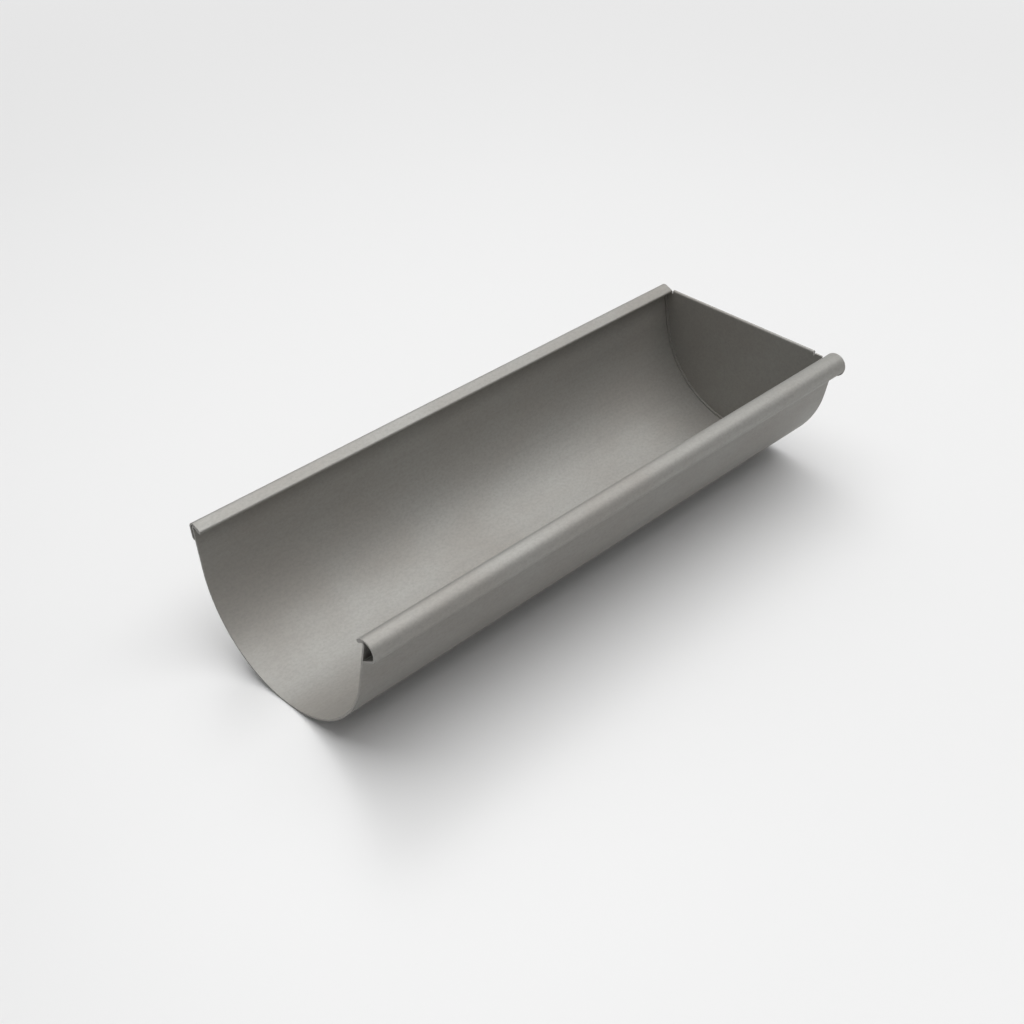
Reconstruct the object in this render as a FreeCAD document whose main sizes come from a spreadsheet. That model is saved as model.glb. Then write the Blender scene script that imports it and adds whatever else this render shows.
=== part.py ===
"""Half-round gutter length with a stop end, as a parametric FreeCAD document.

Frame: +X along the gutter from its open end to its stop end, +Z up, the front (beaded) rim towards -Y.
The origin is at the open end, under the middle of the round bottom, on the surface that it rests on.
All lengths are in millimetres and all angles in degrees.
"""

import FreeCAD, Part

import math
import os

import Sketcher

VEC = FreeCAD.Vector

# Driving sizes: alias, value, what it is.
SIZES = [
    ("gutter_length", 409, "length of the rolled sheet"),
    ("gauge", 1.2, "thickness of the gutter's sheet"),
    ("bowl_radius", 70, "outside radius of the round bottom"),
    ("wall_flare", 10, "angle that each wall leans outwards"),
    ("fold_radius", 0.5, "inside radius of the fold at the top of each wall"),
    ("layer_gap", 0.1, "space between the two layers of a folded lip"),
    ("closing_gap", 0.1, "space between a rim's free edge and the wall"),
    ("drip_slope", 30, "angle at which the underside of each rim falls towards the wall"),
    ("bead_top", 90.9, "height of the front bead"),
    ("bead_radius", 8, "outside radius of the front bead"),
    ("bead_offset", 1.8, "how far the bead's axis stands out from the inner face of the wall"),
    ("bead_depth", 6.2, "distance from the bead's axis to its sloping underside"),
    ("bead_corner", 3.5, "outside radius of the bead's lower corner"),
    ("lip_angle", 51, "angle round the bead from the wall to the fold of the front lip"),
    ("crest_drop", 1.9, "how far the rear lip's top, on the wall's line, lies below the front bead's top"),
    ("lip_slope", 22, "angle at which the rear lip falls towards the trough"),
    ("lip_width", 7.3, "width of the rear lip, from the wall's line to its fold"),
    ("curl_reach", 3.4, "distance from the wall's inner face to the outside of the rear curl"),
    ("curl_depth", 12.4, "depth of the rear curl below the crest, along the wall"),
    ("curl_corner", 3.5, "outside radius of the rear curl's upper corner"),
    ("curl_turn", 2.5, "outside radius of the rear curl's lower corner"),
    ("cap_gauge", 1.2, "thickness of the stop end's sheet"),
    ("cap_fit", 0.2, "space between the stop end's flange and the trough"),
    ("flange_depth", 1.2, "how far the stop end's flange reaches into the trough"),
    ("flange_front_drop", 17.4, "how far below the front bead's top the flange stops at the front"),
    ("flange_rear_drop", 8.9, "how far below the front bead's top the flange stops at the rear"),
    ("cap_drop", 5, "how far the stop end's folded top edge lies below the front bead's top"),
    ("cap_fold_depth", 8, "depth of the layer folded down outside the stop end"),
    ("cap_fold_front", 56.5, "distance from the middle plane to the front end of the fold"),
    ("cap_fold_rear", 65, "distance from the middle plane to the rear end of the fold"),
    ("notch_width", 1.2, "width of the relief notch at each end of the fold"),
    ("notch_depth", 1.5, "depth of the relief notches below the fold's line"),
    ("tab_front", 63.5, "distance from the middle plane to the outer side of the front tab"),
    ("tab_rear", 68.9, "distance from the middle plane to the outer side of the rear tab"),
    ("front_edge_drop", 12.9, "how far below the front bead's top the stop end's edge leaves the front wall"),
    ("rear_edge_drop", 7.9, "how far below the front bead's top the stop end's edge leaves the rear wall"),
    ("dome_depth", 1.8, "how far the dome stands out past the end of the front bead"),
    ("dome_round", 1.6, "outside radius round the dome's rim"),
]

# Sizes worked out from the driving ones: alias, formula, what it is.
FORMULAS = [
    ("bowl_inner", "bowl_radius - gauge", "inside radius of the round bottom"),
    ("crest_height", "bead_top - crest_drop", "height at which the rear wall's line meets its lip's top"),
    ("cap_height", "bead_top - cap_drop", "height of the stop end's folded top edge"),
    ("bowl_sweep", "180 - 2 * wall_flare", "angle of the round bottom"),
    ("hem_radius", "gauge + layer_gap / 2", "outside radius of a lip's fold"),
    ("hem_sweep", "180", "a lip folds flat back on itself"),
    ("under_slope", "drip_slope + wall_flare", "underside of a rim, from square to the wall"),
    ("seat_offset", "gauge + closing_gap + gauge * sin(under_slope)", "free edge to the wall's inner face"),
    ("bead_lift", "bead_top - bead_radius", "height of the bead's axis"),
    ("bead_foot", "bead_lift + bead_offset * sin(wall_flare)", "height of the wall's face at the bead"),
    ("under_radius", "bead_radius - 2 * hem_radius", "underside radius of the front lip"),
    (
        "front_fold_sweep",
        "acos(-(fold_radius + bead_offset) / (under_radius - fold_radius)) / 1 deg",
        "turn from the wall into the front lip",
    ),
    (
        "front_wall_run",
        "(bead_foot - bowl_radius + bowl_inner * sin(wall_flare)) / cos(wall_flare)"
        " + (under_radius - fold_radius) * sin(front_fold_sweep)",
        "flat part of the front wall",
    ),
    ("under_sweep", "90 - front_fold_sweep + lip_angle", "lower layer of the front lip"),
    (
        "corner_sweep",
        "acos((bead_depth - bead_corner) / (bead_radius - bead_corner)) / 1 deg",
        "turn of the bead's lower corner",
    ),
    ("bead_sweep", "180 - under_slope - corner_sweep + lip_angle", "round part of the bead"),
    (
        "bead_under_run",
        "((bead_radius - bead_corner) * sin(under_slope + corner_sweep)"
        " + bead_corner * sin(under_slope) + bead_offset - seat_offset) / cos(under_slope)",
        "flat underside of the bead",
    ),
    ("lip_rise", "lip_slope + wall_flare", "rear lip, from square to the wall"),
    ("lip_sweep", "90 + lip_rise", "turn from the rear wall into the lip, and from the lip into the curl"),
    (
        "rear_wall_run",
        "(crest_height - bowl_radius + bowl_inner * sin(wall_flare)) / cos(wall_flare)"
        " - 2 * hem_radius / cos(lip_rise) - fold_radius * tan(lip_sweep / 2)",
        "flat part of the rear wall",
    ),
    (
        "lip_under_run",
        "lip_width - 2 * hem_radius * tan(lip_rise) - fold_radius * tan(lip_sweep / 2)",
        "lower layer of the rear lip",
    ),
    (
        "lip_over_run",
        "lip_width + curl_reach / cos(lip_rise) - curl_corner * tan(lip_sweep / 2)",
        "upper layer of the rear lip",
    ),
    ("curl_sweep", "90 - under_slope", "turn of the rear curl's lower corner"),
    (
        "curl_under_run",
        "(curl_reach - curl_turn + curl_turn * sin(under_slope) - seat_offset) / cos(under_slope)",
        "flat underside of the rear curl",
    ),
    (
        "curl_side_run",
        "curl_reach * tan(lip_rise) - curl_corner * tan(lip_sweep / 2) + curl_depth"
        " - curl_turn * cos(under_slope) - curl_under_run * sin(under_slope)",
        "flat side of the rear curl",
    ),
    (
        "bead_axis",
        "(bowl_inner + bead_offset) * cos(wall_flare)"
        " + (bead_foot - bowl_radius + bowl_inner * sin(wall_flare)) * tan(wall_flare)",
        "distance from the middle plane to the bead's axis",
    ),
    ("cap_radius", "bowl_inner - cap_fit", "radius of the outside of the stop end's flange"),
    ("cap_inner", "cap_radius - cap_gauge", "radius of the inside of the stop end's flange"),
    ("flange_front_top", "bead_top - flange_front_drop", "height at which the flange stops at the front"),
    ("flange_rear_top", "bead_top - flange_rear_drop", "height at which the flange stops at the rear"),
    ("cap_edge_front", "bead_top - front_edge_drop", "height where the stop end's edge meets the front wall"),
    ("cap_edge_rear", "bead_top - rear_edge_drop", "height where the stop end's edge meets the rear wall"),
    (
        "flange_front_run",
        "(flange_front_top - bowl_radius + cap_radius * sin(wall_flare)) / cos(wall_flare)",
        "flat part of the flange at the front",
    ),
    (
        "flange_rear_run",
        "(flange_rear_top - bowl_radius + cap_radius * sin(wall_flare)) / cos(wall_flare)",
        "flat part of the flange at the rear",
    ),
    (
        "cap_front_run",
        "(cap_edge_front - bowl_radius + bowl_radius * sin(wall_flare)) / cos(wall_flare)",
        "flat part of the stop end's edge along the front wall",
    ),
    (
        "cap_rear_run",
        "(cap_edge_rear - bowl_radius + bowl_radius * sin(wall_flare)) / cos(wall_flare)",
        "flat part of the stop end's edge along the rear wall",
    ),
    ("cap_fold_radius", "cap_gauge + layer_gap / 2", "outside radius of the stop end's fold"),
    ("cap_fold_line", "cap_height - cap_fold_radius", "height at which the stop end's sheet starts to fold"),
    ("cap_fold_axis", "gutter_length + cap_fold_radius", "distance from the open end to the fold's axis"),
    ("cap_fold_width", "cap_fold_front + cap_fold_rear", "length of the fold across the gutter"),
    ("notch_front", "cap_fold_front + notch_width", "outer side of the front notch"),
    ("notch_rear", "cap_fold_rear + notch_width", "outer side of the rear notch"),
    ("notch_floor", "cap_fold_line - notch_depth", "height of the bottom of the notches"),
    ("dome_inner", "bead_radius - cap_gauge", "inside radius of the dome"),
    ("dome_flat", "bead_radius - dome_round", "radius of the dome's flat face"),
    ("dome_round_inner", "dome_round - cap_gauge", "inside radius round the dome's rim"),
    ("dome_straight", "dome_depth - dome_round", "straight part of the dome's side"),
    ("dome_top", "bead_lift + bead_radius", "height of the dome's top"),
    ("dome_end", "gutter_length + dome_depth", "distance from the open end to the dome's flat face"),
]


def fill_sheet(doc):
    """Write the sizes and formulas into the document's spreadsheet, each under its alias."""
    sheet = doc.addObject("Spreadsheet::Sheet", "sizes")
    rows = [(alias, str(value), note) for alias, value, note in SIZES]
    rows += [(alias, "=" + formula, note) for alias, formula, note in FORMULAS]
    for row, (alias, content, note) in enumerate(rows, start=1):
        sheet.set(f"A{row}", note)
        sheet.set(f"B{row}", content)
        sheet.setAlias(f"B{row}", alias)
    doc.recompute()
    return sheet


def bind(sketch, constraint, expression):
    """Add a dimension to the sketch and bind it to a value of the sheet."""
    index = sketch.addConstraint(constraint)
    name = f"size_{index}"
    sketch.renameConstraint(index, name)
    sketch.setExpression(f"Constraints.{name}", expression)


def polar(angle, length=1.0):
    """Point at the given angle and distance from the sketch's origin."""
    return VEC(length * math.cos(math.radians(angle)), length * math.sin(math.radians(angle)), 0)


class SheetFace:
    """Walks along one face of a bent sheet, as straight runs and bends that are tangent to each other.

    The driving face is the one inside the trough. The other face lies one gauge away from it, so a bend
    there is wider or tighter by the gauge.
    """

    def __init__(self, sketch, sheet, edge, vertex, point, heading, outer):
        self.sketch = sketch
        self.sheet = sheet
        self.edge = edge
        self.vertex = vertex
        self.point = point
        self.heading = heading
        self.outer = outer
        self.inner_turn = 1 if heading < 90 else -1

    def join(self, edge, near_vertex, far_vertex):
        """Make the new edge tangent to the last one and walk on from its far vertex."""
        self.sketch.addConstraint(Sketcher.Constraint("Tangent", self.edge, self.vertex, edge, near_vertex))
        self.edge = edge
        self.vertex = far_vertex

    def run(self, length_alias):
        """Add a straight run."""
        length = self.sheet.get(length_alias)
        end = self.point + polar(self.heading, length)
        edge = self.sketch.addGeometry(Part.LineSegment(self.point, end), False)
        self.join(edge, 1, 2)
        bind(self.sketch, Sketcher.Constraint("Distance", edge, length), f"sizes.{length_alias}")
        self.point = end

    def bend(self, radius_alias, sweep_alias, turn):
        """Add a bend; turn is +1 to the left and -1 to the right."""
        radius = self.sheet.get(radius_alias)
        expression = f"sizes.{radius_alias}"
        if self.outer:
            step = turn * self.inner_turn
            radius += step * self.sheet.get("gauge")
            expression += " + sizes.gauge" if step > 0 else " - sizes.gauge"
        sweep = self.sheet.get(sweep_alias)
        centre = self.point + polar(self.heading + 90 * turn, radius)
        start = self.heading - 90 * turn
        low, high = sorted((start, start + sweep * turn))
        circle = Part.Circle(centre, VEC(0, 0, 1), radius)
        edge = self.sketch.addGeometry(Part.ArcOfCircle(circle, math.radians(low), math.radians(high)), False)
        near_vertex, far_vertex = (1, 2) if turn > 0 else (2, 1)
        self.join(edge, near_vertex, far_vertex)
        bind(self.sketch, Sketcher.Constraint("Radius", edge, radius), expression)
        bind(self.sketch, Sketcher.Constraint("Angle", edge, math.radians(sweep)), f"sizes.{sweep_alias}")
        self.heading += sweep * turn
        self.point = centre + polar(self.heading - 90 * turn, radius)


def draw_bowl(sketch, sheet, radius_alias):
    """Draw the round bottom about the gutter's middle plane and return its edge."""
    lift = sheet.get("bowl_radius")
    radius = sheet.get(radius_alias)
    flare = sheet.get("wall_flare")
    circle = Part.Circle(VEC(0, lift, 0), VEC(0, 0, 1), radius)
    arc = Part.ArcOfCircle(circle, math.radians(180 + flare), math.radians(360 - flare))
    edge = sketch.addGeometry(arc, False)
    sketch.addConstraint(Sketcher.Constraint("Symmetric", edge, 1, edge, 2, -2))
    bind(sketch, Sketcher.Constraint("DistanceY", -1, 1, edge, 3, lift), "sizes.bowl_radius")
    bind(sketch, Sketcher.Constraint("Radius", edge, radius), f"sizes.{radius_alias}")
    sweep = math.radians(sheet.get("bowl_sweep"))
    bind(sketch, Sketcher.Constraint("Angle", edge, sweep), "sizes.bowl_sweep")
    return edge


def draw_face(sketch, sheet, radius_alias, outer):
    """Draw one whole face of the gutter's sheet and return its front and rear ends."""
    bowl = draw_bowl(sketch, sheet, radius_alias)
    centre = VEC(0, sheet.get("bowl_radius"), 0)
    radius = sheet.get(radius_alias)
    flare = sheet.get("wall_flare")

    front = SheetFace(sketch, sheet, bowl, 1, centre + polar(180 + flare, radius), 90 + flare, outer)
    front.run("front_wall_run")
    front.bend("fold_radius", "front_fold_sweep", -1)
    front.bend("under_radius", "under_sweep", -1)
    front.bend("hem_radius", "hem_sweep", 1)
    front.bend("bead_radius", "bead_sweep", 1)
    front.bend("bead_corner", "corner_sweep", 1)
    front.run("bead_under_run")

    rear = SheetFace(sketch, sheet, bowl, 2, centre + polar(-flare, radius), 90 - flare, outer)
    rear.run("rear_wall_run")
    rear.bend("fold_radius", "lip_sweep", 1)
    rear.run("lip_under_run")
    rear.bend("hem_radius", "hem_sweep", -1)
    rear.run("lip_over_run")
    rear.bend("curl_corner", "lip_sweep", -1)
    rear.run("curl_side_run")
    rear.bend("curl_turn", "curl_sweep", -1)
    rear.run("curl_under_run")
    return front, rear


def close_edge(sketch, inner, outer):
    """Close the sheet's section with the cut edge between its two faces."""
    edge = sketch.addGeometry(Part.LineSegment(inner.point, outer.point), False)
    sketch.addConstraint(Sketcher.Constraint("Coincident", edge, 1, inner.edge, inner.vertex))
    sketch.addConstraint(Sketcher.Constraint("Coincident", edge, 2, outer.edge, outer.vertex))


def plane_sketch(body, role, name, offset_alias=None, sign=1):
    """Add a sketch on one of the body's own planes, moved along its normal by a value of the sheet."""
    sketch = body.newObject("Sketcher::SketchObject", name)
    plane = next(f for f in body.Origin.OriginFeatures if f.Role == role)
    sketch.AttachmentSupport = [(plane, "")]
    sketch.MapMode = "FlatFace"
    if offset_alias:
        sketch.setExpression("AttachmentOffset.Base.z", f"{sign} * sizes.{offset_alias}")
    return sketch


def pad(body, name, profile, length_alias, reverse=False):
    """Pad the profile by a value of the sheet."""
    feature = body.newObject("PartDesign::Pad", name)
    feature.Profile = profile
    feature.setExpression("Length", f"sizes.{length_alias}")
    feature.Reversed = reverse
    profile.Visibility = False
    return feature


def make_trough(doc, sheet):
    """Roll the trough: the section of the bent sheet along the whole length."""
    body = doc.addObject("PartDesign::Body", "gutter_trough")
    body.Label = "gutter_trough"
    section = plane_sketch(body, "YZ_Plane", "trough_section")
    inner_ends = draw_face(section, sheet, "bowl_inner", False)
    outer_ends = draw_face(section, sheet, "bowl_radius", True)
    for inner, outer in zip(inner_ends, outer_ends):
        close_edge(section, inner, outer)
    pad(body, "rolled_sheet", section, "gutter_length")
    return body


def draw_edge_line(sketch, sheet, radius_alias, front_run, rear_run):
    """Draw a round bottom with a straight wall at each side and return the front and rear ends."""
    bowl = draw_bowl(sketch, sheet, radius_alias)
    centre = VEC(0, sheet.get("bowl_radius"), 0)
    radius = sheet.get(radius_alias)
    flare = sheet.get("wall_flare")
    front = SheetFace(sketch, sheet, bowl, 1, centre + polar(180 + flare, radius), 90 + flare, False)
    front.run(front_run)
    rear = SheetFace(sketch, sheet, bowl, 2, centre + polar(-flare, radius), 90 - flare, False)
    rear.run(rear_run)
    return front, rear


def place(sketch, edge, vertex, size_x, size_y, sheet):
    """Hold a point at two sizes from the origin; a size is a sign and an alias."""
    for kind, (sign, alias) in (("DistanceX", size_x), ("DistanceY", size_y)):
        constraint = Sketcher.Constraint(kind, -1, 1, edge, vertex, sign * sheet.get(alias))
        bind(sketch, constraint, f"{sign} * sizes.{alias}")


def draw_steps(sketch, sheet, start, corners, finish):
    """Draw straight edges from one end through the corners to the other end."""
    points = [VEC(sx * sheet.get(ax), sz * sheet.get(az), 0) for (sx, ax), (sz, az) in corners]
    last_edge, last_vertex, last_point = start.edge, start.vertex, start.point
    for point, (size_x, size_y) in zip(points, corners):
        edge = sketch.addGeometry(Part.LineSegment(last_point, point), False)
        sketch.addConstraint(Sketcher.Constraint("Coincident", edge, 1, last_edge, last_vertex))
        place(sketch, edge, 2, size_x, size_y, sheet)
        last_edge, last_vertex, last_point = edge, 2, point
    edge = sketch.addGeometry(Part.LineSegment(last_point, finish.point), False)
    sketch.addConstraint(Sketcher.Constraint("Coincident", edge, 1, last_edge, last_vertex))
    sketch.addConstraint(Sketcher.Constraint("Coincident", edge, 2, finish.edge, finish.vertex))


def draw_plate(sketch, sheet):
    """Outline of the stop end's plate: the trough's outside and a straight top with two relief notches."""
    front, rear = draw_edge_line(sketch, sheet, "bowl_radius", "cap_front_run", "cap_rear_run")
    corners = [
        ((1, "tab_rear"), (1, "cap_edge_rear")),
        ((1, "tab_rear"), (1, "cap_fold_line")),
        ((1, "notch_rear"), (1, "cap_fold_line")),
        ((1, "notch_rear"), (1, "notch_floor")),
        ((1, "cap_fold_rear"), (1, "notch_floor")),
        ((1, "cap_fold_rear"), (1, "cap_fold_line")),
        ((-1, "cap_fold_front"), (1, "cap_fold_line")),
        ((-1, "cap_fold_front"), (1, "notch_floor")),
        ((-1, "notch_front"), (1, "notch_floor")),
        ((-1, "notch_front"), (1, "cap_fold_line")),
        ((-1, "tab_front"), (1, "cap_fold_line")),
        ((-1, "tab_front"), (1, "cap_edge_front")),
    ]
    draw_steps(sketch, sheet, rear, corners, front)


def draw_flange(sketch, sheet):
    """Section of the stop end's flange, which follows the inside of the trough."""
    outer = draw_edge_line(sketch, sheet, "cap_radius", "flange_front_run", "flange_rear_run")
    inner = draw_edge_line(sketch, sheet, "cap_inner", "flange_front_run", "flange_rear_run")
    for outer_end, inner_end in zip(outer, inner):
        close_edge(sketch, inner_end, outer_end)


def line(sketch, start, end, direction=None):
    """Draw a straight edge, held horizontal or vertical where asked."""
    edge = sketch.addGeometry(Part.LineSegment(start, end), False)
    if direction:
        sketch.addConstraint(Sketcher.Constraint(direction, edge))
    return edge


def quarter_turns(sketch, centre, radius, radius_expression, last_angle):
    """Draw an arc from 0 degrees to the last angle and bind its radius."""
    circle = Part.Circle(centre, VEC(0, 0, 1), radius)
    edge = sketch.addGeometry(Part.ArcOfCircle(circle, 0, math.radians(last_angle)), False)
    bind(sketch, Sketcher.Constraint("Radius", edge, radius), radius_expression)
    return edge


def draw_fold(sketch, sheet):
    """Section of the layer folded down outside the stop end's top edge, seen along the Y axis."""
    axis = VEC(sheet.get("cap_fold_axis"), sheet.get("cap_fold_line"), 0)
    outer_radius = sheet.get("cap_fold_radius")
    inner_radius = sheet.get("layer_gap") / 2
    drop = VEC(0, -sheet.get("cap_fold_depth"), 0)
    outer_side = axis + VEC(outer_radius, 0, 0)
    inner_side = axis + VEC(inner_radius, 0, 0)
    over = quarter_turns(sketch, axis, outer_radius, "sizes.cap_fold_radius", 180)
    under = quarter_turns(sketch, axis, inner_radius, "sizes.layer_gap / 2", 180)
    outside = line(sketch, outer_side, outer_side + drop, "Vertical")
    foot = line(sketch, outer_side + drop, inner_side + drop, "Horizontal")
    inside = line(sketch, inner_side + drop, inner_side, "Vertical")
    root = line(sketch, axis - VEC(inner_radius, 0, 0), axis - VEC(outer_radius, 0, 0), "Horizontal")
    for joint in (
        ("Tangent", over, 1, outside, 1),
        ("Coincident", outside, 2, foot, 1),
        ("Coincident", foot, 2, inside, 1),
        ("Tangent", inside, 2, under, 1),
        ("Coincident", under, 2, root, 1),
        ("Coincident", root, 2, over, 2),
        ("Coincident", under, 3, over, 3),
        ("PointOnObject", over, 3, root),
    ):
        sketch.addConstraint(Sketcher.Constraint(*joint))
    place(sketch, over, 3, (1, "cap_fold_axis"), (1, "cap_fold_line"), sheet)
    bind(sketch, Sketcher.Constraint("Distance", outside, drop.Length), "sizes.cap_fold_depth")


def draw_dome(sketch, sheet):
    """Half section of the pressed dome, with the bead's axis as its centre line."""
    root = VEC(sheet.get("gutter_length"), sheet.get("dome_top"), 0)
    gauge = VEC(0, -sheet.get("cap_gauge"), 0)
    straight = VEC(sheet.get("dome_straight"), 0, 0)
    round_radius = sheet.get("dome_round")
    round_inner = sheet.get("dome_round_inner")
    centre = root + straight - VEC(0, round_radius, 0)
    flat = VEC(0, -sheet.get("dome_flat"), 0)
    outer_face = centre + VEC(round_radius, 0, 0)
    inner_face = centre + VEC(round_inner, 0, 0)
    side = line(sketch, root, root + straight, "Horizontal")
    outer_round = quarter_turns(sketch, centre, round_radius, "sizes.dome_round", 90)
    face = line(sketch, outer_face, outer_face + flat, "Vertical")
    middle = line(sketch, outer_face + flat, inner_face + flat, "Horizontal")
    back = line(sketch, inner_face + flat, inner_face, "Vertical")
    inner_round = quarter_turns(sketch, centre, round_inner, "sizes.dome_round_inner", 90)
    lining = line(sketch, root + straight + gauge, root + gauge, "Horizontal")
    rim = line(sketch, root + gauge, root, "Vertical")
    for joint in (
        ("Tangent", side, 2, outer_round, 2),
        ("Tangent", outer_round, 1, face, 1),
        ("Coincident", face, 2, middle, 1),
        ("Coincident", middle, 2, back, 1),
        ("Tangent", back, 2, inner_round, 1),
        ("Tangent", inner_round, 2, lining, 1),
        ("Coincident", lining, 2, rim, 1),
        ("Coincident", rim, 2, side, 1),
        ("Coincident", inner_round, 3, outer_round, 3),
    ):
        sketch.addConstraint(Sketcher.Constraint(*joint))
    place(sketch, side, 1, (1, "gutter_length"), (1, "dome_top"), sheet)
    bind(sketch, Sketcher.Constraint("Distance", side, straight.Length), "sizes.dome_straight")
    bind(sketch, Sketcher.Constraint("Distance", face, flat.Length), "sizes.dome_flat")
    axis_height = sheet.get("bead_lift")
    ends = [VEC(sheet.get(alias), axis_height, 0) for alias in ("gutter_length", "dome_end")]
    axis = sketch.addGeometry(Part.LineSegment(*ends), True)
    place(sketch, axis, 1, (1, "gutter_length"), (1, "bead_lift"), sheet)
    place(sketch, axis, 2, (1, "dome_end"), (1, "bead_lift"), sheet)


def draw_bore(sketch, sheet):
    """Circle of the dome's hollow, on the bead's axis."""
    centre = VEC(-sheet.get("bead_axis"), sheet.get("bead_lift"), 0)
    radius = sheet.get("dome_inner")
    edge = sketch.addGeometry(Part.Circle(centre, VEC(0, 0, 1), radius), False)
    place(sketch, edge, 3, (-1, "bead_axis"), (1, "bead_lift"), sheet)
    bind(sketch, Sketcher.Constraint("Radius", edge, radius), "sizes.dome_inner")


def make_stop_end(doc, sheet):
    """Press the stop end: a plate with a flange, a folded top edge and a dome over the bead's end."""
    body = doc.addObject("PartDesign::Body", "stop_end")
    body.Label = "stop_end"
    outline = plane_sketch(body, "YZ_Plane", "plate_outline", "gutter_length")
    draw_plate(outline, sheet)
    pad(body, "plate", outline, "cap_gauge")

    bore = plane_sketch(body, "YZ_Plane", "dome_bore", "gutter_length")
    draw_bore(bore, sheet)
    opening = body.newObject("PartDesign::Pocket", "dome_opening")
    opening.Profile = bore
    opening.setExpression("Length", "sizes.cap_gauge")
    opening.Reversed = True
    bore.Visibility = False

    flange_section = plane_sketch(body, "YZ_Plane", "flange_section", "gutter_length")
    draw_flange(flange_section, sheet)
    pad(body, "flange", flange_section, "flange_depth", reverse=True)

    fold_section = plane_sketch(body, "XZ_Plane", "fold_section", "cap_fold_rear", -1)
    draw_fold(fold_section, sheet)
    pad(body, "top_fold", fold_section, "cap_fold_width")

    dome_section = plane_sketch(body, "XZ_Plane", "dome_section", "bead_axis")
    draw_dome(dome_section, sheet)
    dome = body.newObject("PartDesign::Revolution", "dome")
    dome.Profile = dome_section
    dome.ReferenceAxis = (dome_section, ["Axis0"])
    dome.Angle = 360
    dome_section.Visibility = False
    return body


def check_document(doc, parts):
    """Stop the build if any object failed or any sub-part is empty or broken."""
    for obj in doc.Objects:
        if "Invalid" in obj.State or "Error" in obj.State:
            raise RuntimeError(f"{obj.Name} did not rebuild: {obj.State}")
    for part in parts:
        if part.Shape.isNull() or not part.Shape.isValid() or len(part.Shape.Solids) != 1:
            raise RuntimeError(f"{part.Label} is not one sound solid")


def main():
    """Build the document, check every object in it and write each sub-part."""
    doc = FreeCAD.newDocument("gutter_section")
    sheet = fill_sheet(doc)
    parts = [make_trough(doc, sheet), make_stop_end(doc, sheet)]
    doc.recompute()
    check_document(doc, parts)
    os.makedirs("parts", exist_ok=True)
    for part in parts:
        part.Shape.exportStep(f"parts/{part.Label}.step")


main()
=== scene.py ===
"""Looks of the half-round gutter length and its stop end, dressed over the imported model."""

import logging
import math
from dataclasses import dataclass
from enum import Enum

import bmesh
import bpy
from mathutils import Euler, Matrix, Vector


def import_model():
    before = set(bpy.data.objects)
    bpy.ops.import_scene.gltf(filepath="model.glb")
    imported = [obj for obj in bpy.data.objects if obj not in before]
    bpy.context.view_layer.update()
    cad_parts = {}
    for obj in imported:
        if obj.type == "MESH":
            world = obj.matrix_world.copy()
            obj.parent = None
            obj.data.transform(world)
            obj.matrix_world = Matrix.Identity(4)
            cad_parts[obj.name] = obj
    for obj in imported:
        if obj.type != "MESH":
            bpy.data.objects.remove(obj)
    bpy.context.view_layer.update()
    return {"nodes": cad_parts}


LOG = logging.getLogger("gutter_section")
Triple = tuple[float, float, float]
Socket = bpy.types.NodeSocket
WHITE = (1.0, 1.0, 1.0, 1.0)


def grey(level: float) -> Triple:
    """Makes a neutral grey.

    Args:
        level: Linear level, from 0 to 1.

    Returns:
        The colour.
    """
    return (level, level, level)


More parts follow.
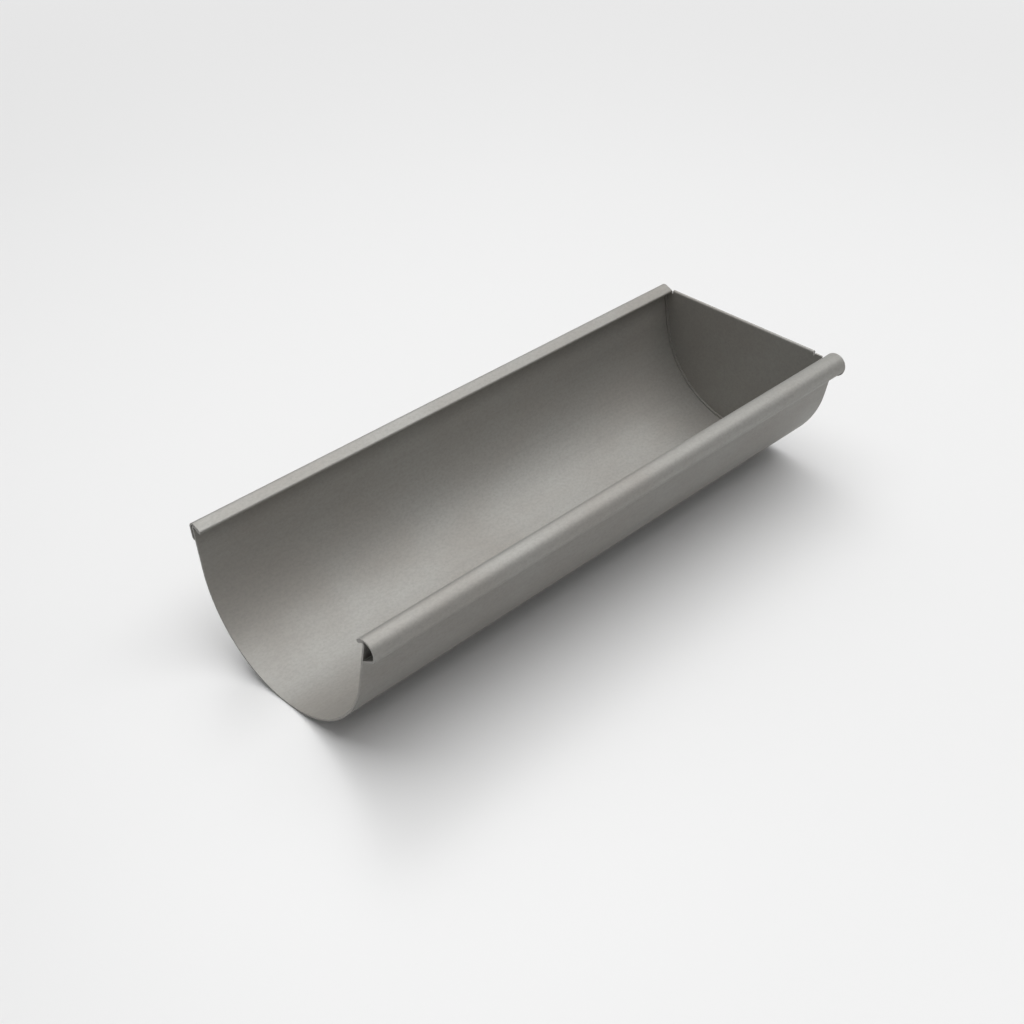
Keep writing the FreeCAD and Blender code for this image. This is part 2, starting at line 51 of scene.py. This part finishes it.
class Graph:
    """A node tree, with short calls for the nodes that the finishes and the world share."""

    def __init__(self, owner: bpy.types.Material | bpy.types.World, output: str) -> None:
        """Empties the owner's node tree and gives it an output.

        Args:
            owner: Material or world whose nodes these are.
            output: Blender's name of the output node's type.
        """
        owner.use_nodes = True
        self.tree = owner.node_tree
        self.tree.nodes.clear()
        self.output = self.tree.nodes.new(output)

    def node(self, kind: str, **settings: object) -> bpy.types.Node:
        """Adds a node.

        Args:
            kind: Blender's name of the node's type.
            **settings: Attributes to set on the node.

        Returns:
            The new node.
        """
        made = self.tree.nodes.new(kind)
        for key, value in settings.items():
            setattr(made, key, value)
        return made

    def link(self, source: Socket, target: Socket) -> None:
        """Joins two sockets.

        Args:
            source: Output socket.
            target: Input socket.
        """
        self.tree.links.new(source, target)

    def finish(self, surface: Socket) -> None:
        """Shows a shader on the owner.

        Args:
            surface: The shader's output.
        """
        self.link(surface, self.output.inputs["Surface"])

    def math(self, operation: str, first: Socket, second: Socket) -> Socket:
        """Works out one number from two.

        Args:
            operation: Blender's name of the operation.
            first: First number.
            second: Second number.

        Returns:
            The result.
        """
        made = self.node("ShaderNodeMath", operation=operation)
        self.link(first, made.inputs[0])
        self.link(second, made.inputs[1])
        return made.outputs[0]

    def mix(self, amount: Socket, first: Socket, second: Socket) -> Socket:
        """Mixes two shaders.

        Args:
            amount: 0 for the first shader and 1 for the second.
            first: First shader's output.
            second: Second shader's output.

        Returns:
            The mixed shader.
        """
        made = self.node("ShaderNodeMixShader")
        self.link(amount, made.inputs["Fac"])
        self.link(first, made.inputs[1])
        self.link(second, made.inputs[2])
        return made.outputs["Shader"]

    def placed(self, scale: Triple) -> Socket:
        """Stretches the object coordinates.

        Args:
            scale: How many times the pattern repeats along each axis in a metre.

        Returns:
            The stretched coordinates.
        """
        where = self.node("ShaderNodeTexCoord")
        mapping = self.node("ShaderNodeMapping")
        mapping.inputs["Scale"].default_value = scale
        self.link(where.outputs["Object"], mapping.inputs["Vector"])
        return mapping.outputs["Vector"]

    def noise(self, scale: Triple, detail: float = 2.0, roughness: float = 0.5) -> Socket:
        """Makes a noise pattern on object coordinates.

        Args:
            scale: Noise cells along each axis in a metre.
            detail: Number of finer layers.
            roughness: Strength of the finer layers.

        Returns:
            The pattern, from 0 to 1.
        """
        made = self.node("ShaderNodeTexNoise")
        made.inputs["Scale"].default_value = 1.0
        made.inputs["Detail"].default_value = detail
        made.inputs["Roughness"].default_value = roughness
        self.link(self.placed(scale), made.inputs["Vector"])
        return made.outputs["Fac"]

    def spread(self, value: Socket, low: float, high: float, to_low: float, to_high: float) -> Socket:
        """Maps a value from one range to another and holds it inside the second.

        Args:
            value: The value to map.
            low: Value that gives to_low.
            high: Value that gives to_high.
            to_low: Result at low.
            to_high: Result at high.

        Returns:
            The mapped value.
        """
        made = self.node("ShaderNodeMapRange", clamp=True)
        ends = {"From Min": low, "From Max": high, "To Min": to_low, "To Max": to_high}
        for name, number in ends.items():
            made.inputs[name].default_value = number
        self.link(value, made.inputs["Value"])
        return made.outputs["Result"]

    def blend(self, amount: Socket, first: Socket | Triple, second: Socket | Triple) -> Socket:
        """Mixes two colours.

        Args:
            amount: 0 for the first colour and 1 for the second.
            first: A socket or a plain colour.
            second: A socket or a plain colour.

        Returns:
            The mixed colour.
        """
        made = self.node("ShaderNodeMix", data_type="RGBA")
        self.link(amount, made.inputs["Factor"])
        for name, colour in (("A", first), ("B", second)):
            target = next(i for i in made.inputs if i.name == name and i.type == "RGBA")
            if isinstance(colour, tuple):
                target.default_value = (*colour, 1.0)
            else:
                self.link(colour, target)
        return next(o for o in made.outputs if o.type == "RGBA")

    def bump(self, height: Socket, depth: float, below: Socket | None = None) -> Socket:
        """Raises the surface by a pattern.

        Args:
            height: Pattern from 0 to 1.
            depth: Height of a full step, in metres.
            below: Normal that this bump is laid over.

        Returns:
            The new normal.
        """
        made = self.node("ShaderNodeBump")
        made.inputs["Strength"].default_value = 1.0
        made.inputs["Distance"].default_value = depth
        self.link(height, made.inputs["Height"])
        if below is not None:
            self.link(below, made.inputs["Normal"])
        return made.outputs["Normal"]


@dataclass(frozen=True)
class CoatedSheet:
    """Satin grey coil-coated sheet: rolling bands, a fine mottle and warmer, duller patches.

    The cells give how often a pattern repeats in a metre, and the ranges give the stretch of
    the pattern over which it takes effect.
    """

    name: str = "satin_grey_coat"
    metallic: float = 0.5
    body: Triple = (0.348, 0.342, 0.322)
    dull: Triple = (0.331, 0.316, 0.292)
    fleck: Triple = (0.235, 0.229, 0.217)
    patch_cells: Triple = (9.0, 14.0, 14.0)
    patch_range: tuple[float, float] = (0.4, 0.62)
    roughness_range: tuple[float, float] = (0.3, 0.7)
    roughness_low: float = 0.5
    roughness_high: float = 0.6
    band_cells: Triple = (1.5, 260.0, 260.0)
    band_range: tuple[float, float] = (0.4, 0.75)
    band_share: float = 0.14
    band_depth: float = 0.00002
    mottle_cells: Triple = (420.0, 620.0, 620.0)
    mottle_range: tuple[float, float] = (0.4, 0.7)
    mottle_share: float = 0.38
    grain_cells: Triple = (2600.0, 2600.0, 2600.0)
    grain_depth: float = 0.00001

    def material(self) -> bpy.types.Material:
        """Builds the coat.

        Returns:
            The material.
        """
        made = bpy.data.materials.new(self.name)
        graph = Graph(made, "ShaderNodeOutputMaterial")
        patches = graph.noise(self.patch_cells, detail=4.0, roughness=0.6)
        bands = graph.noise(self.band_cells)
        mottle = graph.noise(self.mottle_cells, detail=4.0, roughness=0.65)
        grain = graph.noise(self.grain_cells, detail=3.0)
        shader = graph.node("ShaderNodeBsdfPrincipled")
        shader.inputs["Metallic"].default_value = self.metallic
        worn = graph.spread(patches, *self.patch_range, 0.0, 1.0)
        streaked = graph.spread(bands, *self.band_range, 0.0, self.band_share)
        flecked = graph.spread(mottle, *self.mottle_range, 0.0, self.mottle_share)
        colour = graph.blend(worn, self.body, self.dull)
        colour = graph.blend(streaked, colour, self.fleck)
        colour = graph.blend(flecked, colour, self.fleck)
        graph.link(colour, shader.inputs["Base Color"])
        rough = graph.spread(patches, *self.roughness_range, self.roughness_low, self.roughness_high)
        graph.link(rough, shader.inputs["Roughness"])
        rolled = graph.bump(bands, self.band_depth)
        graph.link(graph.bump(grain, self.grain_depth, rolled), shader.inputs["Normal"])
        graph.finish(shader.outputs["BSDF"])
        return made


@dataclass(frozen=True)
class PaleFloor:
    """Smooth pale floor that carries the object's shadow and runs out into the backdrop.

    The camera and mirrors see it in its pale colour, and a darker grey lights the object.
    """

    name: str = "pale_floor"
    shown: Triple = grey(0.785)
    bounced: Triple = grey(0.5)
    roughness: float = 0.35
    backdrop: float = 0.86
    fade_from: float = 0.8
    fade_to: float = 1.7

    def material(self) -> bpy.types.Material:
        """Builds the floor's finish.

        Returns:
            The material.
        """
        made = bpy.data.materials.new(self.name)
        graph = Graph(made, "ShaderNodeOutputMaterial")
        path = graph.node("ShaderNodeLightPath")
        seen = graph.math("MAXIMUM", path.outputs["Is Camera Ray"], path.outputs["Is Glossy Ray"])
        shader = graph.node("ShaderNodeBsdfPrincipled")
        shader.inputs["Roughness"].default_value = self.roughness
        graph.link(graph.blend(seen, self.bounced, self.shown), shader.inputs["Base Color"])
        plain = graph.node("ShaderNodeEmission")
        plain.inputs["Strength"].default_value = self.backdrop
        where = graph.node("ShaderNodeTexCoord")
        away = graph.node("ShaderNodeVectorMath", operation="LENGTH")
        graph.link(where.outputs["Object"], away.inputs[0])
        faded = graph.spread(away.outputs["Value"], self.fade_from, self.fade_to, 0.0, 1.0)
        shown_faded = graph.math("MULTIPLY", faded, seen)
        graph.finish(graph.mix(shown_faded, shader.outputs["BSDF"], plain.outputs["Emission"]))
        return made


@dataclass(frozen=True)
class Softbox:
    """One square lamp: where it hangs, the point it faces, its side in metres and its power in watts."""

    name: str
    place: Triple
    aim: Triple
    side: float
    power: float

    def hang(self) -> None:
        """Hangs the lamp."""
        data = bpy.data.lights.new(self.name, "AREA")
        data.size = self.side
        data.energy = self.power
        piece = bpy.data.objects.new(self.name, data)
        place = Vector(self.place)
        turn = (place - Vector(self.aim)).to_track_quat("Z", "Y").to_matrix().to_4x4()
        piece.matrix_world = Matrix.Translation(place) @ turn
        bpy.context.collection.objects.link(piece)
        LOG.info("hung %s", self.name)


MIDDLE = (0.2, 0.0, 0.0)
LAMPS = (
    Softbox("overhead_softbox", (0.45, 0.1, 1.8), MIDDLE, 2.4, 37.0),
    Softbox("rear_fill", (1.0, 1.4, 1.7), MIDDLE, 1.4, 5.0),
    Softbox("side_fill", (0.95, -0.5, 0.9), (0.4, -0.1, 0.0), 0.8, 1.1),
)


class Node(Enum):
    """The model's own pieces."""

    TROUGH = "gutter_trough"
    STOP_END = "stop_end"


@dataclass
class GutterSection:
    """The gutter length: the rolled trough and the pressed stop end."""

    coat: CoatedSheet = CoatedSheet()

    def dress(self, nodes: dict[str, bpy.types.Object]) -> None:
        """Gives each of the model's pieces its finish.

        Args:
            nodes: The model's pieces by name.
        """
        coat = self.coat.material()
        for node in Node:
            piece = nodes[node.value]
            for slot in piece.material_slots:
                slot.material = coat
            LOG.info("dressed %s", piece.name)


@dataclass
class Studio:
    """Pale floor, soft light from overhead and the camera."""

    floor: PaleFloor = PaleFloor()
    floor_reach: float = 12.0
    world_light: float = 0.33
    view_from: Triple = (-0.37274, -0.54713, 0.60207)
    view_yaw: float = 44.64
    view_pitch: float = 35.77
    view_roll: float = 0.24
    lens: float = 54.529

    def lay_floor(self) -> None:
        """Lays the floor under the object."""
        mesh = bpy.data.meshes.new("floor")
        shape = bmesh.new()
        bmesh.ops.create_grid(shape, x_segments=1, y_segments=1, size=self.floor_reach)
        shape.to_mesh(mesh)
        shape.free()
        mesh.materials.append(self.floor.material())
        piece = bpy.data.objects.new("floor", mesh)
        bpy.context.collection.objects.link(piece)
        LOG.info("laid the floor")

    def light(self) -> None:
        """Sets the world, which the camera sees as the plain backdrop, and hangs the lamps."""
        world = bpy.data.worlds.new("studio")
        bpy.context.scene.world = world
        graph = Graph(world, "ShaderNodeOutputWorld")
        path = graph.node("ShaderNodeLightPath")
        lit, shown = (self.glow(graph, strength) for strength in (self.world_light, self.floor.backdrop))
        graph.finish(graph.mix(path.outputs["Is Camera Ray"], lit, shown))
        for lamp in LAMPS:
            lamp.hang()

    def glow(self, graph: Graph, strength: float) -> Socket:
        """Adds a plain white background.

        Args:
            graph: The world's nodes.
            strength: Brightness, where 1 is white.

        Returns:
            The background's output.
        """
        made = graph.node("ShaderNodeBackground")
        made.inputs["Color"].default_value = WHITE
        made.inputs["Strength"].default_value = strength
        return made.outputs["Background"]

    def set_camera(self) -> None:
        """Stands the camera above the open end, looking down along the gutter."""
        data = bpy.data.cameras.new("camera")
        data.sensor_width = 36.0
        data.lens = self.lens
        data.clip_start = 0.01
        piece = bpy.data.objects.new("camera", data)
        upright = math.radians(90.0 - self.view_pitch)
        heading = math.radians(self.view_yaw - 90.0)
        turn = Euler((upright, 0.0, heading), "XYZ").to_matrix().to_4x4()
        roll = Matrix.Rotation(math.radians(self.view_roll), 4, "Z")
        piece.matrix_world = Matrix.Translation(self.view_from) @ turn @ roll
        bpy.context.collection.objects.link(piece)
        bpy.context.scene.camera = piece
        LOG.info("set the camera")


def main() -> None:
    """Dresses the model and builds the studio round it."""
    logging.basicConfig(level=logging.INFO)
    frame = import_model()
    studio = Studio()
    studio.set_camera()
    GutterSection().dress(frame["nodes"])
    studio.lay_floor()
    studio.light()
    bpy.context.scene.view_settings.view_transform = "Standard"


if __name__ == "__main__":
    main()
